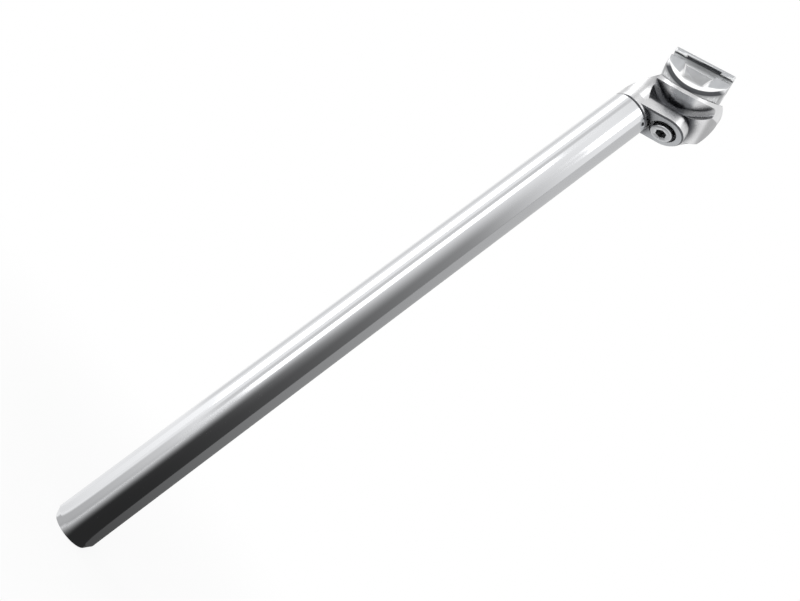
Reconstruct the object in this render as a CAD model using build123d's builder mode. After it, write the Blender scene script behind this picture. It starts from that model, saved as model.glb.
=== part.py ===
import os
from math import asin, cos, degrees, radians, sin, sqrt, tan

from build123d import *

# Bicycle seatpost: a round tube with a forged head that carries a tilting saddle-rail clamp.
# Millimetres and degrees. The tube stands on Z, with the origin where its full diameter begins above
# the lead-in, and the saddle is set back towards +X.

# Tube
tube_diameter = 25.4
tube_wall = 2.5
collar_height = 362.4
lead_in_length = 3.6
lead_in_depth = 2.0
seam_chamfer = 0.6

# Forged head, measured along the bolt axis from the flat underside
head_tilt = 16.0
bolt_setback = 21.4
spigot_length = 34.0
seat_depth = 12.2
seat_radius = 22.3
rim_drop = 10.5
rim_half_width = 24.6
rim_thickness = 2.2
rim_margin = 0.3
body_base = 8.2
body_corner_round = 15.0
waist_half_width = 9.6
waist_sweep_radius = 85.0
waist_front_radius = 17.0
waist_front_turn = 60.0
waist_lead = 6.0
scoop_depth = 2.2
scoop_round = 2.6
neck_height = 5.0
neck_flare = 3.0
boss_half_width = 12.2
boss_height = 8.4
boss_round = 2.4
boss_chamfer = 0.8
brow_height = 3.0

# Serrations of the seat and of the cradle that rocks in it
serration_pitch = 4.0
serration_width = 1.2
serration_depth = 0.5
serration_half_length = 13.5
serration_margin = 2.0

# Saddle-rail clamp
clamp_length = 35.0
clamp_half_width = 26.0
clamp_corner_round = 2.0
tilt_range = 12.0
rail_diameter = 7.0
rail_spacing = 44.0
rail_drop = 6.1
lip_gap = 3.0
cradle_bevel = 2.0
pocket_floor = 5.5
pocket_base_width = 12.0
pocket_mouth_width = 18.6
pocket_wall = 17.2
pocket_round = 1.6
plate_cover = 5.2
plate_web = 3.2
plate_boss_half_width = 13.8
plate_recess = 2.8
plate_edge_round = 1.4
closing_gap = 1.3

# Fasteners
bolt_diameter = 8.0
bolt_length = 35.0
bolt_head_diameter = 13.0
bolt_head_height = 8.0
bolt_head_proud = 2.0
bolt_head_chamfer = 0.8
bolt_tip_chamfer = 1.0
socket_across_flats = 6.0
socket_depth = 4.0
washer_diameter = 16.0
washer_thickness = 1.6
nut_radius = 6.5
nut_length = 18.0
nut_flat_drop = 0.0

# Clearances
press_clearance = 0.02
thread_clearance = 0.08
seat_gap = 0.3
bearing_gap = 0.05
bolt_hole_clearance = 0.4
slot_clearance = 0.5
counterbore_clearance = 0.3
nut_end_gap = 1.5

tube_radius = tube_diameter / 2
tube_bore_radius = tube_radius - tube_wall
spigot_radius = tube_bore_radius - press_clearance
bolt_radius = bolt_diameter / 2
bolt_hole_radius = bolt_radius + bolt_hole_clearance
slot_width = 2 * (bolt_radius + slot_clearance)
washer_radius = washer_diameter / 2
rail_radius = rail_diameter / 2
half_length = clamp_length / 2
reach = rim_half_width + clamp_half_width

# Clamp axes: the rails run along x of the clamp plane and the bolt along its normal
tilt = radians(head_tilt)
rail_direction = (cos(tilt), 0, sin(tilt))
bolt_direction = (-sin(tilt), 0, cos(tilt))
clamp_origin = (bolt_setback * cos(tilt), 0, collar_height + bolt_setback * sin(tilt))
clamp_plane = Plane(origin=clamp_origin, x_dir=rail_direction, z_dir=bolt_direction)
side_plane = Plane(origin=clamp_origin, x_dir=rail_direction, z_dir=(0, -1, 0))
end_plane = Plane(origin=clamp_origin, x_dir=(0, 1, 0), z_dir=rail_direction)
bolt_axis = Axis(clamp_origin, bolt_direction)

# Levels along the bolt
tilt_level = seat_depth + seat_radius
rim_height = tilt_level - rim_drop
rail_level = tilt_level - rail_drop
cradle_radius = seat_radius - seat_gap
cradle_lip = rail_level - lip_gap / 2
plate_lip = rail_level + lip_gap / 2
plate_top = rail_level + plate_cover
trough_radius = nut_radius + seat_gap
recess_width = nut_length + 2 * nut_end_gap
plate_boss_base = tilt_level - trough_radius - plate_web
cradle_floor = plate_boss_base - closing_gap
pocket_base = tilt_level - cradle_radius + pocket_floor
bolt_face = -bolt_head_proud
bolt_seat = bolt_face + bolt_head_height
washer_face = bolt_seat + bearing_gap
counterbore_depth = washer_face + washer_thickness
dish_radius = seat_radius + rim_thickness
rim_half_length = sqrt(dish_radius**2 - rim_drop**2) + rim_margin
boss_front = -bolt_setback + tube_radius / 4
scoop_base = body_base - scoop_depth
scoop_end = rim_half_length + 2 * rim_thickness
body_overhang = rim_thickness / 4
brow_edge = tilt_level - sqrt(seat_radius**2 - half_length**2)
brow_start = (
    -tube_radius * cos(tilt) + brow_height * sin(tilt) - bolt_setback,
    tube_radius * sin(tilt) + brow_height * cos(tilt),
)
brow_slope = (brow_edge - brow_start[1]) / (-half_length - brow_start[0])


def slot_length(drop):
    """Length that a slot needs where it lies this far below the tilt axis."""
    swing = radians(tilt_range)
    return 2 * (bolt_radius / cos(swing) + drop * tan(swing) + slot_clearance)


def serrations(radius, half_length_along_arc, depth):
    """V grooves on an arc about the tilt axis; a positive depth cuts outwards."""
    half_angle = degrees(asin(half_length_along_arc / radius))
    half_count = int(half_angle / serration_pitch)
    count = 2 * half_count + 1
    first_angle = -90 - half_count * serration_pitch
    overlap = -depth / 2
    with Locations((0, tilt_level)):
        with PolarLocations(radius, count, first_angle, count * serration_pitch):
            Polygon((overlap, -serration_width / 2), (depth, 0), (overlap, serration_width / 2), align=None)


# Tube, open at its lower end, with a lead-in that finds the frame's seat tube
with BuildPart() as tube:
    with BuildSketch(Plane.XZ):
        with BuildLine():
            Polyline(
                (tube_bore_radius, -lead_in_length),
                (tube_radius - lead_in_depth, -lead_in_length),
                (tube_radius, 0),
                (tube_radius, collar_height - seam_chamfer),
                (tube_radius - seam_chamfer, collar_height),
                (tube_bore_radius, collar_height),
                close=True,
            )
        make_face()
    revolve(axis=Axis.Z)

# Space scooped from each side under the dish, outside the waist
with BuildPart() as scoops:
    waist_span = scoop_end + waist_lead
    waist_end = waist_half_width + waist_sweep_radius - sqrt(waist_sweep_radius**2 - waist_span**2)
    waist_mid = waist_half_width + waist_sweep_radius - sqrt(waist_sweep_radius**2 - (waist_span / 2) ** 2)
    waist_turn = radians(waist_front_turn)
    waist_front = -waist_lead - waist_front_radius * sin(waist_turn)
    waist_wide = waist_half_width + waist_front_radius * (1 - cos(waist_turn))
    with BuildSketch(side_plane):
        with Locations((waist_front, scoop_base)):
            Rectangle(scoop_end - waist_front, tilt_level - scoop_base, align=(Align.MIN, Align.MIN))
        with Locations((0, tilt_level)):
            Circle(dish_radius, mode=Mode.SUBTRACT)
    extrude(amount=reach, both=True)
    with BuildSketch(clamp_plane):
        with BuildLine():
            ThreePointArc(
                (waist_front, waist_wide),
                (
                    -waist_lead - waist_front_radius * sin(waist_turn / 2),
                    waist_half_width + waist_front_radius * (1 - cos(waist_turn / 2)),
                ),
                (-waist_lead, waist_half_width),
            )
            ThreePointArc(
                (-waist_lead, waist_half_width),
                (waist_span / 2 - waist_lead, waist_mid),
                (scoop_end, waist_end),
            )
            Line((scoop_end, waist_end), (scoop_end, 0))
            Line((scoop_end, 0), (waist_front, 0))
            Line((waist_front, 0), (waist_front, waist_wide))
        make_face()
        mirror(about=Plane.XZ)
    extrude(amount=tilt_level, mode=Mode.SUBTRACT)
    fillet(scoops.edges().filter_by(GeomType.BSPLINE), scoop_round)

# Rounded boss around the bolt, under the waist
with BuildPart() as boss:
    with BuildSketch(clamp_plane):
        with BuildLine():
            Line((boss_front, -boss_half_width), (boss_front, boss_half_width))
            Line((boss_front, boss_half_width), (0, boss_half_width))
            ThreePointArc((0, boss_half_width), (boss_half_width, 0), (0, -boss_half_width))
            Line((0, -boss_half_width), (boss_front, -boss_half_width))
        make_face()
    extrude(amount=boss_height)
    upper_rim = boss.faces().sort_by(bolt_axis)[-1].edges()
    fillet([edge for edge in upper_rim if edge not in upper_rim.filter_by(Axis.Y)], boss_round)
    lower_rim = boss.faces().sort_by(bolt_axis)[0].edges()
    chamfer([edge for edge in lower_rim if edge not in lower_rim.filter_by(Axis.Y)], boss_chamfer)

# Forged head: spigot, neck, bolt boss, waist and the dish with its serrated seat
with BuildPart() as head:
    with BuildSketch(clamp_plane):
        Ellipse(rim_half_length, rim_half_width)
    extrude(amount=rim_height)
    with BuildSketch(side_plane):
        with Locations((rim_half_length + body_overhang, body_base)):
            Rectangle(rim_half_length + 2 * waist_lead, reach, align=(Align.MAX, Align.MIN))
        fillet(vertices().group_by(Axis.Y)[0].sort_by(Axis.X)[-1], body_corner_round)
        with Locations((0, tilt_level)):
            Circle(dish_radius)
    extrude(amount=reach, both=True, mode=Mode.INTERSECT)
    with BuildSketch(Plane.XZ):
        with BuildLine():
            Polyline(
                (0, collar_height - spigot_length),
                (spigot_radius, collar_height - spigot_length),
                (spigot_radius, collar_height),
                (tube_radius - seam_chamfer, collar_height),
                (tube_radius, collar_height + seam_chamfer),
                (tube_radius, collar_height + neck_height),
                (tube_radius + neck_flare, collar_height + rim_height),
                (0, collar_height + rim_height),
                close=True,
            )
        make_face()
    revolve(axis=Axis.Z)
    add(scoops.part, mode=Mode.SUBTRACT)
    add(boss.part)
    with BuildSketch(side_plane):
        with BuildLine():
            Polyline(
                (-half_length + reach, brow_edge + reach * brow_slope),
                (-half_length - reach, brow_edge - reach * brow_slope),
                (-half_length - reach, brow_edge + reach * brow_slope),
                close=True,
            )
        make_face()
    extrude(amount=reach, both=True, mode=Mode.SUBTRACT)
    with BuildSketch(side_plane):
        with Locations((0, tilt_level)):
            Circle(seat_radius)
    extrude(amount=reach, both=True, mode=Mode.SUBTRACT)
    with BuildSketch(side_plane):
        serrations(seat_radius, half_length - serration_margin, serration_depth)
    extrude(amount=serration_half_length, both=True, mode=Mode.SUBTRACT)
    with BuildSketch(clamp_plane.offset(-reach)):
        Circle(washer_radius + counterbore_clearance)
    extrude(amount=reach + counterbore_depth, mode=Mode.SUBTRACT)
    with BuildSketch(clamp_plane):
        Circle(bolt_hole_radius)
    extrude(amount=tilt_level, mode=Mode.SUBTRACT)

# Half-moon cradle with a slot for the bolt, two rail beds and a pocket in each wing
with BuildPart() as cradle:
    with BuildSketch(side_plane):
        with Locations((0, tilt_level)):
            Circle(cradle_radius)
        with Locations((0, cradle_lip)):
            Rectangle(clamp_length, reach, align=(Align.CENTER, Align.MAX), mode=Mode.INTERSECT)
    extrude(amount=clamp_half_width, both=True)
    chamfer(cradle.edges().filter_by(GeomType.CIRCLE), cradle_bevel)
    with BuildSketch(clamp_plane.offset(cradle_floor)):
        Rectangle(clamp_length, 2 * (plate_boss_half_width + slot_clearance))
    extrude(amount=reach, mode=Mode.SUBTRACT)
    with BuildSketch(end_plane):
        with Locations((-rail_spacing / 2, rail_level), (rail_spacing / 2, rail_level)):
            Circle(rail_radius)
    extrude(amount=reach, both=True, mode=Mode.SUBTRACT)
    for side in (-1, 1):
        with BuildSketch(side_plane.offset(side * pocket_wall)):
            with BuildLine():
                Polyline(
                    (-pocket_mouth_width / 2, cradle_lip),
                    (-pocket_base_width / 2, pocket_base),
                    (pocket_base_width / 2, pocket_base),
                    (pocket_mouth_width / 2, cradle_lip),
                    close=True,
                )
            make_face()
            fillet(vertices().group_by(Axis.Y)[0], pocket_round)
        extrude(amount=side * reach, mode=Mode.SUBTRACT)
    with BuildSketch(clamp_plane):
        SlotOverall(slot_length(cradle_radius), slot_width)
    extrude(amount=reach, mode=Mode.SUBTRACT)
    with BuildSketch(side_plane):
        serrations(cradle_radius, half_length - serration_margin, -serration_depth)
    extrude(amount=serration_half_length, both=True, mode=Mode.SUBTRACT)

# Plate that closes over the rails, with a trough on top for the nut
with BuildPart() as plate:
    with BuildSketch(end_plane):
        with Locations((0, plate_lip)):
            Rectangle(2 * clamp_half_width, plate_top - plate_lip, align=(Align.CENTER, Align.MIN))
        fillet(vertices().group_by(Axis.Y)[-1], plate_edge_round)
        with Locations((0, plate_boss_base)):
            Rectangle(
                2 * plate_boss_half_width,
                plate_lip - plate_boss_base,
                align=(Align.CENTER, Align.MIN),
            )
        with Locations((0, plate_top)):
            Rectangle(recess_width, plate_recess, align=(Align.CENTER, Align.MAX), mode=Mode.SUBTRACT)
        with Locations((-rail_spacing / 2, rail_level), (rail_spacing / 2, rail_level)):
            Circle(rail_radius, mode=Mode.SUBTRACT)
    extrude(amount=half_length, both=True)
    with BuildSketch(clamp_plane):
        RectangleRounded(clamp_length, 2 * clamp_half_width, clamp_corner_round)
    extrude(amount=tilt_level + reach, mode=Mode.INTERSECT)
    with BuildSketch(side_plane):
        with Locations((0, tilt_level)):
            Circle(trough_radius)
    extrude(amount=nut_length / 2 + slot_clearance, both=True, mode=Mode.SUBTRACT)
    with BuildSketch(clamp_plane):
        SlotOverall(slot_length(tilt_level - plate_boss_base), slot_width)
    extrude(amount=reach, mode=Mode.SUBTRACT)

# Half-round nut that rocks in the plate's trough
with BuildPart() as nut:
    with BuildSketch(side_plane):
        with Locations((0, tilt_level)):
            Circle(nut_radius)
        with Locations((0, tilt_level - nut_flat_drop)):
            Rectangle(3 * nut_radius, 3 * nut_radius, align=(Align.CENTER, Align.MAX), mode=Mode.INTERSECT)
    extrude(amount=nut_length / 2, both=True)
    with BuildSketch(clamp_plane):
        Circle(bolt_radius + thread_clearance)
    extrude(amount=reach, mode=Mode.SUBTRACT)

# Cap screw from below, with a hexagon socket
with BuildPart() as bolt:
    with BuildSketch(clamp_plane.offset(bolt_face)):
        Circle(bolt_head_diameter / 2)
    extrude(amount=bolt_head_height)
    chamfer(bolt.edges().sort_by(bolt_axis)[0], bolt_head_chamfer)
    with BuildSketch(clamp_plane.offset(bolt_seat)):
        Circle(bolt_radius)
    extrude(amount=bolt_length)
    chamfer(bolt.edges().sort_by(bolt_axis)[-1], bolt_tip_chamfer)
    with BuildSketch(clamp_plane.offset(bolt_face)):
        RegularPolygon(socket_across_flats / 2, 6, major_radius=False)
    extrude(amount=socket_depth, mode=Mode.SUBTRACT)

# Washer on the counterbore's floor
with BuildPart() as washer:
    with BuildSketch(clamp_plane.offset(washer_face)):
        Circle(washer_radius)
        Circle(bolt_hole_radius, mode=Mode.SUBTRACT)
    extrude(amount=washer_thickness)

os.makedirs("parts", exist_ok=True)
tube.part.label = "post_tube"
export_step(tube.part, "parts/post_tube.step")
head.part.label = "forged_head"
export_step(head.part, "parts/forged_head.step")
cradle.part.label = "lower_cradle"
export_step(cradle.part, "parts/lower_cradle.step")
plate.part.label = "upper_clamp"
export_step(plate.part, "parts/upper_clamp.step")
bolt.part.label = "clamp_bolt"
export_step(bolt.part, "parts/clamp_bolt.step")
washer.part.label = "bolt_washer"
export_step(washer.part, "parts/bolt_washer.step")
nut.part.label = "rocker_nut"
export_step(nut.part, "parts/rocker_nut.step")
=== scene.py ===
import math

import bmesh
import bpy
import numpy as np
from mathutils import Matrix, Vector


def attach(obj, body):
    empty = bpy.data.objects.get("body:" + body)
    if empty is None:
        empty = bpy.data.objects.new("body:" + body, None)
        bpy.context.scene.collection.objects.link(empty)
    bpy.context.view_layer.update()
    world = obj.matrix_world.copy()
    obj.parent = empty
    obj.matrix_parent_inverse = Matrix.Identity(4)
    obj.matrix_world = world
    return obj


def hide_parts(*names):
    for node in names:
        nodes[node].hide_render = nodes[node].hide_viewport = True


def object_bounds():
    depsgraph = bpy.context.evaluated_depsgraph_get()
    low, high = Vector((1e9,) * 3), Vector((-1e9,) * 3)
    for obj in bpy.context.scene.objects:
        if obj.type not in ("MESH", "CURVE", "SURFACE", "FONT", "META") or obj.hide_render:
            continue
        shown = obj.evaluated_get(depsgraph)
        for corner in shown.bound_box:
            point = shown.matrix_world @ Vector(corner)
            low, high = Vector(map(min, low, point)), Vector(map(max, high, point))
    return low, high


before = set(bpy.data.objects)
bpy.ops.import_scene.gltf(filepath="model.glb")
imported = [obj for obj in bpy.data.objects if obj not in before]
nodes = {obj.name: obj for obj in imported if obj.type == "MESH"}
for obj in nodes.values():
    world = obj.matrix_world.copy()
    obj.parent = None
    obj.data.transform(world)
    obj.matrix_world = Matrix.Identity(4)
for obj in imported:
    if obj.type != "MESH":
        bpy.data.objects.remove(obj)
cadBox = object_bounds()
scene = bpy.context.scene
print("frame loaded:", ", ".join(sorted(nodes)))

mm = 0.001
mergeGap = 0.001 * mm          # points nearer than this are one
sharpAngle = math.radians(35)  # an edge that turns by more stays sharp
bevelSamples = 4               # rays that round an edge in a finish
skySamples = 8                 # rays that find how shut in a spot is

# the clamp leans back by headTilt: rails run along railWay and the bolt along boltWay
clamp = {
    "headTilt": 16.0,      # degrees
    "setback": 21.4 * mm,  # bolt axis behind the collar, along the rails
    "collar": 362.4 * mm,  # height of the seam between tube and head
    "axis": 34.5 * mm,     # the clamp tilts about this height on the bolt
}
tilt = math.radians(clamp["headTilt"])
railWay = np.array((math.cos(tilt), 0.0, math.sin(tilt)))
sideWay = np.array((0.0, 1.0, 0.0))
boltWay = np.array((-math.sin(tilt), 0.0, math.cos(tilt)))
boltFoot = np.array((0.0, 0.0, clamp["collar"])) + clamp["setback"] * railWay
tiltAxis = boltFoot + clamp["axis"] * boltWay


def linear(hexColour):
    # sRGB hex to the linear RGBA that the shader takes
    srgb = np.array([int(hexColour[i:i + 2], 16) for i in (1, 3, 5)]) / 255
    rgb = np.where(srgb <= 0.04045, srgb / 12.92, ((srgb + 0.055) / 1.055) ** 2.4)
    return (*rgb.tolist(), 1.0)


def addNode(tree, kind, values=None, links=None):
    # one node: values go to its attributes or inputs, links join other nodes' outputs to its inputs
    node = tree.nodes.new("ShaderNode" + kind)
    for name, value in (values or {}).items():
        if isinstance(name, str) and hasattr(node, name):
            setattr(node, name, value)
        else:
            node.inputs[name].default_value = value
    for name, source in (links or {}).items():
        tree.links.new(source, node.inputs[name])
    return node


def newMaterial(name):
    # an empty material, and its node tree
    material = bpy.data.materials.new(name)
    material.use_nodes = True
    material.node_tree.nodes.clear()
    return material, material.node_tree


def dress(nodeName, material):
    # a CAD node keeps its mesh and takes this finish
    slots = nodes[nodeName].data.materials
    slots.clear()
    slots.append(material)


def gridFaces(rows, columns, around):
    # four-cornered faces between neighbours of a grid; around joins the last column to the first
    column = np.arange(columns if around else columns - 1)
    beside = (column + 1) % columns
    row = np.arange(rows - 1)[:, None] * columns
    above = row + columns
    return np.stack((row + column, row + beside, above + beside, above + column), -1).reshape(-1, 4)


# drawn tube, polished along its length and clear anodised: nearly a mirror, with faint long draw lines
tubeFinish = {
    "colour": "#E4E5E7",
    "lineWidth": 0.7 * mm,   # finer on the real tube, drawn coarse enough to show
    "lineLength": 90 * mm,
    "lineDetail": 2.0,
    "lineHeight": 0.05 * mm,
    "lineShare": 0.02,       # how much of that height shows
    "handleSize": 22 * mm,   # patches dulled by handling
    "handleDetail": 3.0,
    "handled": (0.1, 0.45),  # lines times patches: where dulling starts and where it is whole
    "rough": (0.07, 0.15),
    "edge": 0.25 * mm,       # the cut ends are broken by hand
}
polishedTube, tree = newMaterial("anodised_polished_aluminium")
spot = addNode(tree, "TexCoord").outputs["Object"]
stretch = (1 / tubeFinish["lineWidth"], 1 / tubeFinish["lineWidth"], 1 / tubeFinish["lineLength"])
alongTube = addNode(tree, "Mapping", {"Scale": stretch}, {"Vector": spot})
drawLines = addNode(
    tree, "TexNoise", {"Scale": 1.0, "Detail": tubeFinish["lineDetail"]}, {"Vector": alongTube.outputs[0]}
)
handling = addNode(
    tree,
    "TexNoise",
    {"Scale": 1 / tubeFinish["handleSize"], "Detail": tubeFinish["handleDetail"]},
    {"Vector": spot},
)
dulled = addNode(
    tree, "Math", {"operation": "MULTIPLY"}, {0: drawLines.outputs[0], 1: handling.outputs[0]}
)
rough = addNode(
    tree,
    "MapRange",
    {
        "From Min": tubeFinish["handled"][0],
        "From Max": tubeFinish["handled"][1],
        "To Min": tubeFinish["rough"][0],
        "To Max": tubeFinish["rough"][1],
    },
    {"Value": dulled.outputs[0]},
)
edge = addNode(tree, "Bevel", {"samples": bevelSamples, "Radius": tubeFinish["edge"]})
bump = addNode(
    tree,
    "Bump",
    {"Strength": tubeFinish["lineShare"], "Distance": tubeFinish["lineHeight"]},
    {"Height": drawLines.outputs[0], "Normal": edge.outputs[0]},
)
shader = addNode(
    tree,
    "BsdfPrincipled",
    {"Base Color": linear(tubeFinish["colour"]), "Metallic": 1.0},
    {"Roughness": rough.outputs[0], "Normal": bump.outputs[0]},
)
addNode(tree, "OutputMaterial", None, {"Surface": shader.outputs[0]})
dress("post_tube", polishedTube)

# forged head, buffed by hand: soft waves left by the wheel, painted shade on what faces down in the hollows
# under the dish, and a painted shade that greys the flat underside, which faces down
headFinish = {
    "colour": "#E2E2E3",
    "waveSize": 6 * mm,
    "waveDetail": 1.0,
    "waveHeight": 0.3 * mm,
    "waveShare": 0.03,                 # how much of that height shows
    "handleSize": 9 * mm,
    "handleDetail": 4.0,
    "handled": (0.3, 0.7),             # of the patches: where dulling starts and where it is whole
    "rough": (0.20, 0.30),
    "edge": 0.35 * mm,
    # painted shade on what faces down in the hollows under the dish
    "hollow": "#4A4B4E",
    "hollowShadeReach": 9 * mm,             # how near the walls stand where the painted shade falls
    "hollowShadeShut": (0.99, 0.80),        # open sky where the painted shade starts and where it is whole
    "hollowShadeSlope": (0.2, -0.15),       # cosine to the bolt: the painted shade stays on what faces down
    "upperShadeRise": (10 * mm, 13 * mm),   # over the underside: above this, what faces down takes a little painted shade
    "upperShadeShare": 0.2,
    # painted shade: greys the flat underside, which faces down
    "undersideShade": "#B2B4B7",
    "undersideShadeSlope": (-0.95, -0.98),     # cosine to the bolt
    "edgeLine": "#5E5F62",             # painted shade: a dark line round the underside's edge
    "edgeShadeSlope": (-0.25, -0.55),       # cosine to the bolt
    "edgeShadeRise": (2.5 * mm, 1.5 * mm),  # over the underside
}
polishedForging, tree = newMaterial("forged_polished_aluminium")
surface = addNode(tree, "TexCoord").outputs
spot, facing = surface["Object"], surface["Normal"]
waves = addNode(
    tree,
    "TexNoise",
    {"Scale": 1 / headFinish["waveSize"], "Detail": headFinish["waveDetail"]},
    {"Vector": spot},
)
handling = addNode(
    tree,
    "TexNoise",
    {"Scale": 1 / headFinish["handleSize"], "Detail": headFinish["handleDetail"]},
    {"Vector": spot},
)
rough = addNode(
    tree,
    "MapRange",
    {
        "From Min": headFinish["handled"][0],
        "From Max": headFinish["handled"][1],
        "To Min": headFinish["rough"][0],
        "To Max": headFinish["rough"][1],
    },
    {"Value": handling.outputs[0]},
)
edge = addNode(tree, "Bevel", {"samples": bevelSamples, "Radius": headFinish["edge"]})
bump = addNode(
    tree,
    "Bump",
    {"Strength": headFinish["waveShare"], "Distance": headFinish["waveHeight"]},
    {"Height": waves.outputs[0], "Normal": edge.outputs[0]},
)
sky = addNode(
    tree,
    "AmbientOcclusion",
    {"samples": skySamples, "only_local": True, "Distance": headFinish["hollowShadeReach"]},
).outputs["AO"]
fromFoot = addNode(tree, "VectorMath", {"operation": "SUBTRACT", 1: boltFoot.tolist()}, {0: spot})
slope, rise = (
    addNode(
        tree, "VectorMath", {"operation": "DOT_PRODUCT", 1: boltWay.tolist()}, {0: vector}
    ).outputs["Value"]
    for vector in (facing, fromFoot.outputs[0])
)
shut, under, undersideShade, upper, turned, low = (
    addNode(
        tree,
        "MapRange",
        {"From Min": headFinish[limit][0], "From Max": headFinish[limit][1]},
        {"Value": value},
    ).outputs[0]
    for value, limit in (
        (sky, "hollowShadeShut"),
        (slope, "hollowShadeSlope"),
        (slope, "undersideShadeSlope"),
        (rise, "upperShadeRise"),
        (slope, "edgeShadeSlope"),
        (rise, "edgeShadeRise"),
    )
)
# painted shade where the walls close in, and a little above the waist, on what faces down
shadeDepth = addNode(tree, "Math", {"operation": "MULTIPLY", 1: headFinish["upperShadeShare"]}, {0: upper})
shadeDepth = addNode(tree, "Math", {"operation": "MAXIMUM"}, {0: shut, 1: shadeDepth.outputs[0]})
hollow = addNode(tree, "Math", {"operation": "MULTIPLY"}, {0: shadeDepth.outputs[0], 1: under})
# painted shade: a dark line round the underside's edge, off the underside itself
line = addNode(tree, "Math", {"operation": "MULTIPLY"}, {0: turned, 1: low})
line = addNode(
    tree, "Math", {"operation": "SUBTRACT", "use_clamp": True}, {0: line.outputs[0], 1: undersideShade}
)
# painted shade greys the flat underside that faces down
tone = addNode(
    tree,
    "Mix",
    {"data_type": "RGBA", 6: linear(headFinish["colour"]), 7: linear(headFinish["undersideShade"])},
    {0: undersideShade},
)
# painted shade in the hollows and as a dark line round the underside's edge
for layer, share in (("hollow", hollow), ("edgeLine", line)):
    tone = addNode(
        tree,
        "Mix",
        {"data_type": "RGBA", 7: linear(headFinish[layer])},
        {0: share.outputs[0], 6: tone.outputs[2]},
    )
shader = addNode(
    tree,
    "BsdfPrincipled",
    {"Metallic": 1.0},
    {"Base Color": tone.outputs[2], "Roughness": rough.outputs[0], "Normal": bump.outputs[0]},
)
addNode(tree, "OutputMaterial", None, {"Surface": shader.outputs[0]})
dress("forged_head", polishedForging)
print("tube and head done")

# cast clamp halves, tumbled with stones: a matt grey skin with a fine grain on what faces sideways, bright
# metal where bevels, beds and grooves were cut after casting, painted shade on the bevel by the seat with a
# painted highlight crescent over it, painted light on the skin further in, painted highlights on the pockets'
# cheeks and painted shade under their roof
clampFinish = {
    "skin": "#B6B7B9",
    "skinShadow": "#9FA1A4",
    "skinSlope": (0.85, 0.95),              # cosine to the side
    "skinRough": 0.55,
    "skinMetal": 0.45,                      # the skin scatters light as much as it reflects it
    "grainSize": 0.5 * mm,
    "grainDetail": 3.0,
    "grainHeight": 0.05 * mm,
    "grainShare": 0.15,                     # how much of that height shows
    "patchSize": 5 * mm,
    "patchDetail": 3.0,
    "cut": "#DEDFE0",
    "cutRough": 0.32,
    "cutMetal": 0.7,
    "pocketLight": "#CDCED0",                     # painted light: paler skin, further in
    "pocketLightFrom": (23 * mm, 19 * mm),        # from the middle
    # painted highlight on the crescent and on the cheeks
    "pale": "#F2F2F2",
    "paintedLightMetal": 0.1,
    "crescent": (28.4 * mm, 28.9 * mm),     # painted highlight: past a circle lifted over the tilt axis by the next entry
    "crescentLift": 12 * mm,
    "cheekSlope": (0.35, 0.5),              # painted highlight on the cheeks: cosine to the rails
    "cheekFrom": (22.5 * mm, 23.5 * mm),    # from the middle
    "cheekWithin": (12.5 * mm, 11.5 * mm),  # from the bolt, along the rails
    "cheekRise": (-17.0 * mm, -16.6 * mm),  # from the tilt axis
    # painted shade on the bevel by the seat, for the dark gap under the head's rim
    "bevelShade": "#4C4D50",
    "bevelShadeFrom": (20.0 * mm, 20.3 * mm),  # radius about the tilt axis
    "bevelShadeSlope": (0.2, 0.5),             # cosine to the side: the bevel, and not the round
    "bevelShadeRise": (-12 * mm, -14.5 * mm),  # from the tilt axis, so that the ends stay bright
    # painted shade on the plate's underside over the pockets
    "roof": "#56575A",
    "roofSlope": (-0.6, -0.9),              # cosine to the bolt
    "roofFrom": (21.5 * mm, 22.5 * mm),     # from the middle
    "roofRise": (-7 * mm, -6 * mm),         # from the tilt axis
    "edge": 0.4 * mm,
}
tumbledCasting, tree = newMaterial("tumbled_cast_aluminium")
surface = addNode(tree, "TexCoord").outputs
spot, facing = surface["Object"], surface["Normal"]
grain = addNode(
    tree,
    "TexNoise",
    {"Scale": 1 / clampFinish["grainSize"], "Detail": clampFinish["grainDetail"]},
    {"Vector": spot},
)
patches = addNode(
    tree,
    "TexNoise",
    {"Scale": 1 / clampFinish["patchSize"], "Detail": clampFinish["patchDetail"]},
    {"Vector": spot},
)
# which way a spot faces and where it lies, measured along the clamp's own ways
fromAxis = addNode(tree, "VectorMath", {"operation": "SUBTRACT", 1: tiltAxis.tolist()}, {0: spot}).outputs[0]
measures = {}
for name, vector, way in (
    ("sideCosine", facing, sideWay),
    ("railCosine", facing, railWay),
    ("boltCosine", facing, boltWay),
    ("sideReach", fromAxis, sideWay),
    ("railReach", fromAxis, railWay),
    ("rise", fromAxis, boltWay),
):
    along = addNode(tree, "VectorMath", {"operation": "DOT_PRODUCT", 1: way.tolist()}, {0: vector})
    measures[name] = along.outputs["Value"]
for name in ("sideCosine", "railCosine", "sideReach", "railReach"):
    measures[name] = addNode(tree, "Math", {"operation": "ABSOLUTE"}, {0: measures[name]}).outputs[0]
for name, lift in (("axisRadius", 0.0), ("liftedRadius", clampFinish["crescentLift"])):
    middle = tiltAxis + lift * boltWay
    fromMiddle = addNode(
        tree,
        "Mapping",
        {"Location": (-middle[0], 0.0, -middle[2]), "Scale": (1.0, 0.0, 1.0)},
        {"Vector": spot},
    )
    radius = addNode(tree, "VectorMath", {"operation": "LENGTH"}, {0: fromMiddle.outputs[0]})
    measures[name] = radius.outputs["Value"]
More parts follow.
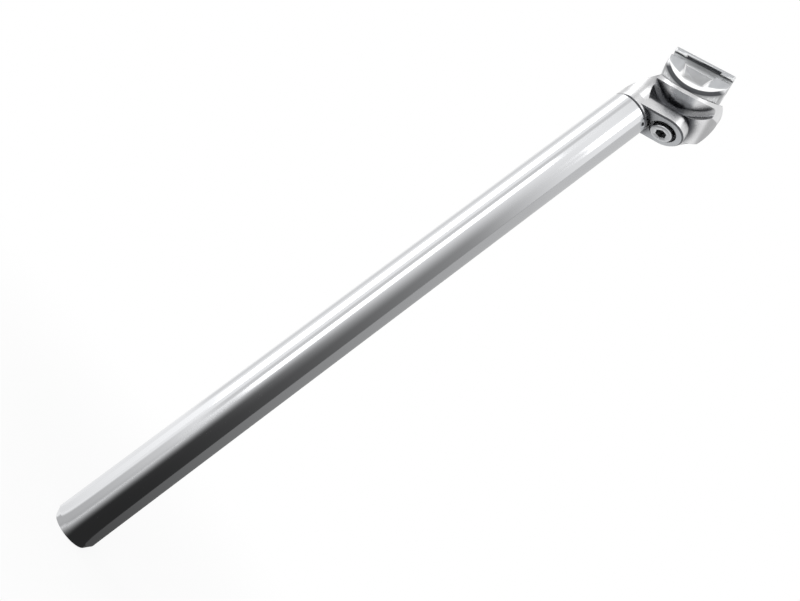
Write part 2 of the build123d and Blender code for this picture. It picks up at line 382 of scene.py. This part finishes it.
# each mask is the product of the shares that its measures give between two limits
limits = {
    "skin": (("sideCosine", "skinSlope"),),
    "pocketLight": (("sideReach", "pocketLightFrom"),),
    "crescent": (("liftedRadius", "crescent"),),
    "bevelShade": (("axisRadius", "bevelShadeFrom"), ("sideCosine", "bevelShadeSlope"), ("rise", "bevelShadeRise")),
    "roof": (("boltCosine", "roofSlope"), ("sideReach", "roofFrom"), ("rise", "roofRise")),
    "cheek": (
        ("railCosine", "cheekSlope"),
        ("sideReach", "cheekFrom"),
        ("railReach", "cheekWithin"),
        ("rise", "cheekRise"),
    ),
}
masks = {}
for mask, pairs in limits.items():
    for measure, limit in pairs:
        start, whole = clampFinish[limit]
        share = addNode(
            tree, "MapRange", {"From Min": start, "From Max": whole}, {"Value": measures[measure]}
        ).outputs[0]
        if mask in masks:
            share = addNode(tree, "Math", {"operation": "MULTIPLY"}, {0: masks[mask], 1: share}).outputs[0]
        masks[mask] = share
tone = addNode(
    tree,
    "Mix",
    {"data_type": "RGBA", 6: linear(clampFinish["skinShadow"]), 7: linear(clampFinish["skin"])},
    {0: patches.outputs[0]},
)
# painted light on the skin further in, and a painted highlight on the crescent
for layer, mask in (("pocketLight", "pocketLight"), ("pale", "crescent")):
    tone = addNode(
        tree,
        "Mix",
        {"data_type": "RGBA", 7: linear(clampFinish[layer])},
        {0: masks[mask], 6: tone.outputs[2]},
    )
tone = addNode(
    tree,
    "Mix",
    {"data_type": "RGBA", 6: linear(clampFinish["cut"])},
    {0: masks["skin"], 7: tone.outputs[2]},
)
# painted shade on the bevel and under the roof, and a painted highlight on the cheeks
for layer, mask in (("bevelShade", "bevelShade"), ("roof", "roof"), ("pale", "cheek")):
    tone = addNode(
        tree,
        "Mix",
        {"data_type": "RGBA", 7: linear(clampFinish[layer])},
        {0: masks[mask], 6: tone.outputs[2]},
    )
rough = addNode(
    tree,
    "MapRange",
    {"To Min": clampFinish["cutRough"], "To Max": clampFinish["skinRough"]},
    {"Value": masks["skin"]},
)
# the painted light and the painted highlights scatter more than they reflect
paintedLightShare = addNode(tree, "Math", {"operation": "MAXIMUM"}, {0: masks["pocketLight"], 1: masks["crescent"]})
metal = addNode(
    tree,
    "MapRange",
    {"To Min": clampFinish["skinMetal"], "To Max": clampFinish["paintedLightMetal"]},
    {"Value": paintedLightShare.outputs[0]},
)
metal = addNode(
    tree,
    "MapRange",
    {"To Min": clampFinish["cutMetal"]},
    {"Value": masks["skin"], "To Max": metal.outputs[0]},
)
# the cheeks' painted highlight scatters too
metal = addNode(
    tree,
    "MapRange",
    {"To Max": clampFinish["paintedLightMetal"]},
    {"Value": masks["cheek"], "To Min": metal.outputs[0]},
)
grit = addNode(tree, "Math", {"operation": "MULTIPLY"}, {0: grain.outputs[0], 1: masks["skin"]})
edge = addNode(tree, "Bevel", {"samples": bevelSamples, "Radius": clampFinish["edge"]})
bump = addNode(
    tree,
    "Bump",
    {"Strength": clampFinish["grainShare"], "Distance": clampFinish["grainHeight"]},
    {"Height": grit.outputs[0], "Normal": edge.outputs[0]},
)
shader = addNode(
    tree,
    "BsdfPrincipled",
    None,
    {
        "Base Color": tone.outputs[2],
        "Metallic": metal.outputs[0],
        "Roughness": rough.outputs[0],
        "Normal": bump.outputs[0],
    },
)
addNode(tree, "OutputMaterial", None, {"Surface": shader.outputs[0]})

# the clamp's castings with the real wings' shallow pockets: blocks fill the CAD cradle's deep pockets up to a
# back wall near the end face, with a sloping cheek on each side, and one more on each side cuts the pocket
# on into the CAD plate, up to a thin roof
wings = {
    # depths from the middle
    "root": 16.5 * mm,        # inside the solid, behind the CAD pocket
    "wall": 24.6 * mm,        # back wall
    "cheekRoot": 24.0 * mm,   # inside the filling
    "cheekFace": 25.9 * mm,   # just inside the end face
    "cutInner": 20.5 * mm,
    "cutOuter": 28.0 * mm,    # outside the wing
    # heights on the bolt, each with half the width along the rails
    "fillFoot": (15.8 * mm, 6.5 * mm),
    "rootTop": (22.0 * mm, 9.0 * mm),  # the filling's top slopes, so that it stays under the rail bed
    "wallTop": (25.8 * mm, 9.4 * mm),
    "cheekFoot": (17.5 * mm, 6.3 * mm),
    "cheekTop": (25.6 * mm, 9.2 * mm),
    "cutFoot": (29.0 * mm, 10.2 * mm),
    "cutTop": (31.3 * mm, 9.4 * mm),
    # widths along the rails
    "cheekWidth": 2.4 * mm,
    "cutFlare": 0.9 * mm,     # the cut is this much wider, each way, outside the wing
}


def bothWays(edges):
    # corners of a block that is the same both ways along the rails: along, depth and height
    return [(way * half, depth, height) for depth, (height, half) in edges for way in (-1, 1)]


def addBlocks(name, blocks):
    # convex blocks between their corners, on both sides of the clamp
    shapes = bmesh.new()
    for corners in blocks:
        for side in (-1, 1):
            points = boltFoot + np.array(corners) @ np.stack((railWay, side * sideWay, boltWay))
            bmesh.ops.convex_hull(shapes, input=[shapes.verts.new(point) for point in points])
    bmesh.ops.recalc_face_normals(shapes, faces=shapes.faces)
    mesh = bpy.data.meshes.new(name)
    shapes.to_mesh(mesh)
    shapes.free()
    blocksObject = bpy.data.objects.new(name, mesh)
    scene.collection.objects.link(blocksObject)
    return blocksObject


def reshape(nodeName, name, body, blocksObject, operation):
    # a merged copy of the CAD node's mesh, joined with the blocks or cut by them, stands for the node
    merged = bmesh.new()
    merged.from_mesh(nodes[nodeName].data)
    bmesh.ops.remove_doubles(merged, verts=merged.verts, dist=mergeGap)
    cadCopy = bpy.data.meshes.new("merged_" + nodeName)
    merged.to_mesh(cadCopy)
    merged.free()
    piece = bpy.data.objects.new(name, cadCopy)
    scene.collection.objects.link(piece)
    change = piece.modifiers.new("wings", "BOOLEAN")
    change.operation = operation
    change.solver = "EXACT"
    change.use_self = True  # the blocks overlap one another
    change.object = blocksObject
    depsgraph = bpy.context.evaluated_depsgraph_get()
    mesh = bpy.data.meshes.new_from_object(piece.evaluated_get(depsgraph))
    piece.modifiers.clear()
    piece.data = mesh
    bpy.data.objects.remove(blocksObject)
    mesh.name = name
    mesh.shade_smooth()
    mesh.set_sharp_from_angle(angle=sharpAngle)
    mesh.materials.clear()
    mesh.materials.append(tumbledCasting)
    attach(piece, body)
    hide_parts(nodeName)
    print(name, "done:", len(mesh.polygons), "faces")


filling = bothWays([
    (wings["root"], wings["fillFoot"]),
    (wings["root"], wings["rootTop"]),
    (wings["wall"], wings["fillFoot"]),
    (wings["wall"], wings["wallTop"]),
])
cheeks = [
    [
        corner
        for height, half in (wings["cheekFoot"], wings["cheekTop"])
        for corner in (
            (way * half, wings["cheekFace"], height),
            (way * half, wings["cheekRoot"], height),
            (way * (half - wings["cheekWidth"]), wings["cheekRoot"], height),
        )
    ]
    for way in (-1, 1)
]
reshape("lower_cradle", "pocketed_cradle", "cradle", addBlocks("pocket_fill", [filling, *cheeks]), "UNION")
opening = bothWays([
    (depth, (height, half + flare))
    for height, half in (wings["cutFoot"], wings["cutTop"])
    for depth, flare in ((wings["cutInner"], 0.0), (wings["cutOuter"], wings["cutFlare"]))
])
reshape("upper_clamp", "pocketed_plate", "plate", addBlocks("pocket_cut", [opening]), "DIFFERENCE")

# turned steel with bright zinc plating: greyer than the aluminium, with cloudy patches, and painted shade in
# the socket and the thread's roots
steelFinish = {
    "colour": "#D2D3D5",
    "shadow": "#B2B4B7",
    "cloudSize": 2.5 * mm,
    "cloudDetail": 4.0,
    "clouded": (0.3, 0.7),    # of the clouds: where dulling starts and where it is whole
    "rough": (0.20, 0.36),
    "edge": 0.2 * mm,
    "socketShade": "#37383A",
    "socketShadeReach": 5 * mm,       # how near the walls stand where the painted shade falls
    "socketShadeShut": (0.75, 0.30),  # open sky where the painted shade starts and where it is whole
}
platedSteel, tree = newMaterial("zinc_plated_steel")
spot = addNode(tree, "TexCoord").outputs["Object"]
clouds = addNode(
    tree,
    "TexNoise",
    {"Scale": 1 / steelFinish["cloudSize"], "Detail": steelFinish["cloudDetail"]},
    {"Vector": spot},
)
rough = addNode(
    tree,
    "MapRange",
    {
        "From Min": steelFinish["clouded"][0],
        "From Max": steelFinish["clouded"][1],
        "To Min": steelFinish["rough"][0],
        "To Max": steelFinish["rough"][1],
    },
    {"Value": clouds.outputs[0]},
)
tone = addNode(
    tree,
    "Mix",
    {"data_type": "RGBA", 6: linear(steelFinish["shadow"]), 7: linear(steelFinish["colour"])},
    {0: clouds.outputs[0]},
)
sky = addNode(
    tree,
    "AmbientOcclusion",
    {"samples": skySamples, "only_local": True, "Distance": steelFinish["socketShadeReach"]},
)
# painted shade in the socket and the thread's roots
socketShade = addNode(
    tree,
    "MapRange",
    {"From Min": steelFinish["socketShadeShut"][0], "From Max": steelFinish["socketShadeShut"][1]},
    {"Value": sky.outputs["AO"]},
)
tone = addNode(
    tree,
    "Mix",
    {"data_type": "RGBA", 7: linear(steelFinish["socketShade"])},
    {0: socketShade.outputs[0], 6: tone.outputs[2]},
)
edge = addNode(tree, "Bevel", {"samples": bevelSamples, "Radius": steelFinish["edge"]})
shader = addNode(
    tree,
    "BsdfPrincipled",
    {"Metallic": 1.0},
    {"Base Color": tone.outputs[2], "Roughness": rough.outputs[0], "Normal": edge.outputs[0]},
)
addNode(tree, "OutputMaterial", None, {"Surface": shader.outputs[0]})
for steelNode in ("bolt_washer", "rocker_nut"):
    dress(steelNode, platedSteel)
print("washer and nut done")

# cap screw with a knurled head, a hexagon socket and a real thread, in place of the plain bolt
screw = {
    "proud": 2.0 * mm,                  # head's face below the forging's flat underside
    "headRadius": 6.5 * mm,
    "headHeight": 8.0 * mm,
    "faceRound": 0.8 * mm,
    "faceRows": 5,
    "knurls": 48,
    "knurlColumns": 6,                  # to each knurl
    "knurlDepth": 0.22 * mm,
    "knurlBand": (1.4 * mm, 7.3 * mm),  # from the head's face
    "knurlRun": 0.3 * mm,               # the knurl runs out over this
    "seatRadius": 6.1 * mm,
    "socketFlats": 6.0 * mm,
    "socketDepth": 4.0 * mm,
    "socketPoint": 0.7 * mm,            # cone left by the drill
    "socketLead": 0.35 * mm,
    "length": 35.0 * mm,
    "overlap": 0.5 * mm,                # shank inside the head
    "threadRadius": 3.97 * mm,
    "pitch": 1.25 * mm,
    "threadDepth": 0.7 * mm,
    "threadRows": 10,                   # to each pitch
    "threadColumns": 60,
    "rootShare": 0.25,                  # of the pitch: flat root
    "flankShare": 0.62,                 # of the pitch: both flanks
    "tipBevel": 1.0 * mm,
}
halfTurn, fullTurn = math.pi, 2 * math.pi
halfFlat = fullTurn / 12  # half the angle of one flat of the socket
# head: a profile turned about the bolt, where the socket's rows bend to a hexagon, flats / cos(angle from the
# nearest flat), and the side's rows sink by a wave of knurls
socketRound = screw["socketFlats"] / 2 / math.cos(halfFlat)
faceEdge = screw["headRadius"] - screw["faceRound"]
faceRows = [
    (screw["faceRound"] * (1 - math.sin(bend)), faceEdge + screw["faceRound"] * math.cos(bend), 0, 0)
    for bend in np.linspace(halfTurn / 2, 0, screw["faceRows"])
]
knurlStart, knurlEnd = screw["knurlBand"]
headRows = np.array([
    # height from the face, radius, share of hexagon, share of knurl
    (screw["socketDepth"] + screw["socketPoint"], 0, 0, 0),
    (screw["socketDepth"], socketRound, 1, 0),
    (screw["socketLead"], socketRound, 1, 0),
    (0, socketRound + screw["socketLead"], 0, 0),
    *faceRows,
    (knurlStart - screw["knurlRun"], screw["headRadius"], 0, 0),
    (knurlStart, screw["headRadius"], 0, 1),
    (knurlEnd, screw["headRadius"], 0, 1),
    (knurlEnd + screw["knurlRun"], screw["headRadius"], 0, 0),
    (screw["headHeight"], screw["seatRadius"], 0, 0),
    (screw["headHeight"], 0, 0, 0),
])
turns = np.linspace(0, fullTurn, screw["knurlColumns"] * screw["knurls"], endpoint=False)
fromFlat = (turns + halfFlat) % (2 * halfFlat) - halfFlat
hexagon = screw["socketFlats"] / 2 / np.cos(fromFlat)
knurlWave = 0.5 - 0.5 * np.cos(screw["knurls"] * turns)
height, radius, hexShare, knurlShare = (column[:, None] for column in headRows.T)
radius = radius * (1 - hexShare) + hexagon * hexShare
radius = radius - knurlShare * screw["knurlDepth"] * knurlWave
height = np.broadcast_to(height, radius.shape)
headGrid = np.stack((radius * np.cos(turns), radius * np.sin(turns), height), -1)
# shank: the radius falls from crest to root and back once a pitch, and this wave climbs one pitch a turn
tip = screw["headHeight"] + screw["length"]
steps = np.arange(screw["headHeight"] - screw["overlap"], tip, screw["pitch"] / screw["threadRows"])
steps = np.concatenate((steps[:1], steps, [tip, tip]))
turns = np.linspace(0, fullTurn, screw["threadColumns"], endpoint=False)
phase = (steps[:, None] / screw["pitch"] - turns / fullTurn) % 1
fromRoot = np.abs(phase - 0.5) * 2
flank = np.clip((fromRoot - screw["rootShare"]) / screw["flankShare"], 0, 1)
radius = screw["threadRadius"] - screw["threadDepth"] * (1 - flank)
tipLimit = screw["threadRadius"] - screw["tipBevel"] + (tip - steps[:, None])
radius = np.minimum(radius, tipLimit)
radius[[0, -1]] = 0
height = np.broadcast_to(steps[:, None], radius.shape)
shankGrid = np.stack((radius * np.cos(turns), radius * np.sin(turns), height), -1)
local = np.concatenate((headGrid.reshape(-1, 3), shankGrid.reshape(-1, 3)))
screwFace = boltFoot - screw["proud"] * boltWay
points = screwFace + local @ np.stack((railWay, sideWay, boltWay))
faces = np.concatenate((
    gridFaces(*headGrid.shape[:2], True),
    gridFaces(*shankGrid.shape[:2], True) + headGrid.shape[0] * headGrid.shape[1],
))
screwMesh = bpy.data.meshes.new("cap_screw")
screwMesh.from_pydata(points.tolist(), [], faces.tolist())
poles = bmesh.new()
poles.from_mesh(screwMesh)
bmesh.ops.remove_doubles(poles, verts=poles.verts, dist=mergeGap)
bmesh.ops.recalc_face_normals(poles, faces=poles.faces)
poles.to_mesh(screwMesh)
poles.free()
screwMesh.shade_smooth()
screwMesh.set_sharp_from_angle(angle=sharpAngle)
screwMesh.materials.append(platedSteel)
screwObject = bpy.data.objects.new("cap_screw", screwMesh)
scene.collection.objects.link(screwObject)
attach(screwObject, "bolt")
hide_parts("clamp_bolt")
print("cap screw done:", len(screwMesh.polygons), "faces")


def seenRays(tree):
    # 1 for rays from the camera, a reflection or glass, and 0 for those that only carry light
    path = addNode(tree, "LightPath").outputs
    seen = path["Is Camera Ray"]
    for kind in ("Is Glossy Ray", "Is Transmission Ray"):
        seen = addNode(tree, "Math", {"operation": "MAXIMUM"}, {0: seen, 1: path[kind]}).outputs[0]
    return seen


# floor under the tube's lower end: white to the camera and to reflections, but for a share near the post that
# takes the shadow
floorPlan = {"size": 12.0, "colour": "#F4F4F4", "glow": 1.0, "shadowShare": 0.10, "shadowReach": 0.45}
half = floorPlan["size"] / 2
corners = np.array(((-half, -half), (half, -half), (half, half), (-half, half)))
floorMesh = bpy.data.meshes.new("studio_floor")
floorMesh.from_pydata(np.column_stack((corners, np.full(4, cadBox[0].z))).tolist(), [], [(0, 1, 2, 3)])
floor = bpy.data.objects.new("studio_floor", floorMesh)
scene.collection.objects.link(floor)
paleFloor, tree = newMaterial("pale_floor")
spot = addNode(tree, "TexCoord").outputs["Object"]
away = addNode(tree, "VectorMath", {"operation": "LENGTH"}, {0: spot})
clean = addNode(
    tree,
    "MapRange",
    {
        "interpolation_type": "SMOOTHSTEP",
        "From Max": floorPlan["shadowReach"],
        "To Min": 1 - floorPlan["shadowShare"],
    },
    {"Value": away.outputs["Value"]},
)
white = addNode(tree, "Math", {"operation": "MULTIPLY"}, {0: seenRays(tree), 1: clean.outputs[0]})
matt = addNode(tree, "BsdfDiffuse", {"Color": linear(floorPlan["colour"])})
glow = addNode(tree, "Emission", {"Strength": floorPlan["glow"]})
mix = addNode(tree, "MixShader", None, {0: white.outputs[0], 1: matt.outputs[0], 2: glow.outputs[0]})
addNode(tree, "OutputMaterial", None, {"Surface": mix.outputs[0]})
floorMesh.materials.append(paleFloor)

# white studio: full white where the camera and reflections look, less as plain fill light
studio = {"colour": "#FFFFFF", "fill": 0.55, "seen": 1.0}
world = bpy.data.worlds.new("studio")
scene.world = world
world.use_nodes = True
tree = world.node_tree
tree.nodes.clear()
strength = addNode(
    tree, "MapRange", {"To Min": studio["fill"], "To Max": studio["seen"]}, {"Value": seenRays(tree)}
)
background = addNode(
    tree, "Background", {"Color": linear(studio["colour"])}, {"Strength": strength.outputs[0]}
)
addNode(tree, "OutputWorld", None, {"Surface": background.outputs[0]})

# grey cards beside the post that only reflections see, as a photographer flags polished metal. A card is
# part of a bowl about the post: point = (r cos a, r sin a, z), where r goes from the first reach to the
# second by a power of v, bend, and z climbs evenly with v. Its shade climbs from foot to top by a power of
# v, climb. Its two sides, foot and top fade out over the shares in soft
cardRows, cardColumns = 25, 49
bowlFoot = 10.6 * mm  # radius at the foot, under the tube's cut end
bowlLow = -3.5 * mm   # just over the floor
hardFoot = 1e-6       # share of a foot that hardly fades
cards = [
    {
        "name": "side_flag",  # the dark side of the tube
        "turns": (-112, 0), "reaches": (bowlFoot, 70 * mm), "bend": 0.25, "heights": (bowlLow, 380 * mm),
        "shades": (0.025, 0.66), "climb": 2.0, "soft": (0.72, 0.01, hardFoot, 0.35),
    },
    {
        "name": "foot_flag",  # deepens it towards the foot
        "turns": (-100, 0), "reaches": (bowlFoot, 68 * mm), "bend": 0.25, "heights": (bowlLow, 230 * mm),
        "shades": (0.025, 0.15), "climb": 1.0, "soft": (0.4, 0.01, hardFoot, 0.7),
    },
    {
        "name": "far_flag",  # the grey strip beside it
        "turns": (-4, 130), "reaches": (bowlFoot, 72 * mm), "bend": 0.25, "heights": (bowlLow, 330 * mm),
        "shades": (0.08, 0.6), "climb": 1.0, "soft": (0.01, 0.1, hardFoot, 0.08),
    },
    {
        "name": "far_card",  # the same strip near the head
        "turns": (0, 130), "reaches": (0.3, 0.3), "bend": 1.0, "heights": (0.39, 0.66),
        "shades": (0.6, 0.68), "climb": 1.0, "soft": (0.02, 0.1, 0.05, 0.1),
    },
    {
        "name": "foot_card",  # dulls the tube's lower end
        "turns": (-134, -90), "reaches": (bowlFoot, 80 * mm), "bend": 0.25, "heights": (bowlLow, 90 * mm),
        "shades": (0.52, 0.9), "climb": 1.0, "soft": (0.2, 0.2, hardFoot, 0.5),
    },
    {
        "name": "foot_white",  # carries the bright stripe down to the foot
        "turns": (-178, -138), "reaches": (bowlFoot, 80 * mm), "bend": 0.25, "heights": (bowlLow, 100 * mm),
        "shades": (0.9, 1.25), "climb": 0.7, "soft": (0.2, 0.2, hardFoot, 0.2),
    },
    {
        "name": "left_card",  # the dip between the two bright stripes
        "turns": (-130, -108), "reaches": (0.5, 0.5), "bend": 1.0, "heights": (0, 0.9),
        "shades": (0.7, 0.7), "climb": 1.0, "soft": (0.3, 0.3, 0.05, 0.05),
    },
    {
        "name": "back_card",  # the grey line down the tube's left edge
        "turns": (138, 180), "reaches": (0.5, 0.5), "bend": 1.0, "heights": (0, 0.9),
        "shades": (0.8, 0.8), "climb": 1.0, "soft": (0.3, 0.3, 0.05, 0.05),
    },
    {
        "name": "front_card",  # tones down the clamp's ends
        "turns": (-150, -60), "reaches": (0.5, 0.5), "bend": 1.0, "heights": (0.6, 1.1),
        "shades": (0.75, 0.75), "climb": 1.0, "soft": (0.2, 0.2, 0.3, 0.1),
    },
]
for card in cards:
    # rows crowd towards the foot, where the bowl is steepest
    u, v = np.meshgrid(np.linspace(0, 1, cardColumns), np.linspace(0, 1, cardRows) ** 2)
    a = np.radians(card["turns"][0] + (card["turns"][1] - card["turns"][0]) * u)
    r = card["reaches"][0] + (card["reaches"][1] - card["reaches"][0]) * v ** card["bend"]
    z = card["heights"][0] + (card["heights"][1] - card["heights"][0]) * v
    points = np.stack((r * np.cos(a), r * np.sin(a), z), -1).reshape(-1, 3)
    cardMesh = bpy.data.meshes.new(card["name"])
    cardMesh.from_pydata(points.tolist(), [], gridFaces(cardRows, cardColumns, False).tolist())
    loopPoint = np.zeros(len(cardMesh.loops), int)
    cardMesh.loops.foreach_get("vertex_index", loopPoint)
    sides = cardMesh.uv_layers.new(name="sides")
    sides.data.foreach_set("uv", np.stack((u.ravel()[loopPoint], v.ravel()[loopPoint]), -1).ravel())
    cardObject = bpy.data.objects.new(card["name"], cardMesh)
    scene.collection.objects.link(cardObject)
    cardObject.visible_camera = False
    cardObject.visible_diffuse = False
    cardObject.visible_shadow = False
    cardObject.visible_transmission = False
    cardPaint, tree = newMaterial(card["name"])
    place = addNode(tree, "UVMap", {"uv_map": "sides"})
    place = addNode(tree, "SeparateXYZ", None, {0: place.outputs[0]}).outputs
    climb = addNode(tree, "Math", {"operation": "POWER", 1: card["climb"]}, {0: place["Y"]})
    shade = addNode(
        tree,
        "MapRange",
        {"To Min": card["shades"][0], "To Max": card["shades"][1]},
        {"Value": climb.outputs[0]},
    )
    near, far, foot, top = card["soft"]
    fades = [
        addNode(
            tree,
            "MapRange",
            {"interpolation_type": "SMOOTHSTEP", "From Min": border, "From Max": whole},
            {"Value": place[side]},
        ).outputs[0]
        for side, border, whole in (("X", 0, near), ("X", 1, 1 - far), ("Y", 0, foot), ("Y", 1, 1 - top))
    ]
    cover = fades[0]
    for fade in fades[1:]:
        cover = addNode(tree, "Math", {"operation": "MULTIPLY"}, {0: cover, 1: fade}).outputs[0]
    clear = addNode(tree, "BsdfTransparent")
    glow = addNode(tree, "Emission", None, {"Strength": shade.outputs[0]})
    mix = addNode(tree, "MixShader", None, {0: cover, 1: clear.outputs[0], 2: glow.outputs[0]})
    addNode(tree, "OutputMaterial", None, {"Surface": mix.outputs[0]})
    cardMesh.materials.append(cardPaint)
print("cards done:", len(cards))

# soft strip lamps; turn is a lamp's angle about the post in degrees, and a matt one lights only what scatters
lamps = [
    {
        "name": "left_strip", "turn": -158, "reach": 0.9, "height": 0.5,
        "size": (0.48, 1.1), "power": 1.8, "matt": False,
    },
    {
        "name": "front_strip", "turn": -101, "reach": 1.0, "height": 0.4,
        "size": (0.34, 0.7), "power": 0.94, "matt": False,
    },
    {
        "name": "top_right", "turn": -45, "reach": 0.9, "height": 1.08,
        "size": (0.5, 0.6), "power": 1.2, "matt": False,
    },
    {
        "name": "front_fill", "turn": -80, "reach": 0.8, "height": 0.2,
        "size": (0.5, 0.5), "power": 4.0, "matt": True,
    },
]
for lamp in lamps:
    light = bpy.data.lights.new(lamp["name"], "AREA")
    light.shape = "RECTANGLE"
    light.size, light.size_y = lamp["size"]
    light.energy = lamp["power"]
    lightObject = bpy.data.objects.new(lamp["name"], light)
    scene.collection.objects.link(lightObject)
    lightObject.visible_glossy = not lamp["matt"]
    turn = math.radians(lamp["turn"])
    place = Vector((lamp["reach"] * math.cos(turn), lamp["reach"] * math.sin(turn), lamp["height"]))
    lightObject.location = place
    towardsPost = Vector((0, 0, lamp["height"])) - place
    lightObject.rotation_euler = towardsPost.to_track_quat("-Z", "Y").to_euler()
print("studio done")

# camera, from the tube's edges and the head's corners in the photograph
shot = {
    "place": (0.1242, -0.3822, 0.1278),
    "right": (0.6126, 0.0517, 0.7887),
    "up": (-0.7359, -0.3269, 0.5930),
    "focal": 771.8,   # pixels, on a picture that is width wide
    "width": 800,
    "sensor": 36.0,   # millimetres
    "nearest": 0.01,  # nothing nearer is drawn
}
right = Vector(shot["right"]).normalized()
back = right.cross(Vector(shot["up"])).normalized()
up = back.cross(right)
camera = bpy.data.cameras.new("camera")
camera.sensor_fit = "HORIZONTAL"
camera.sensor_width = shot["sensor"]
camera.lens = shot["focal"] / shot["width"] * shot["sensor"]
camera.clip_start = shot["nearest"]
cameraObject = bpy.data.objects.new("camera", camera)
scene.collection.objects.link(cameraObject)
turn = Matrix((right, up, back)).transposed().to_4x4()
cameraObject.matrix_world = Matrix.Translation(shot["place"]) @ turn
scene.camera = cameraObject
scene.view_settings.view_transform = "Standard"
print("camera done")
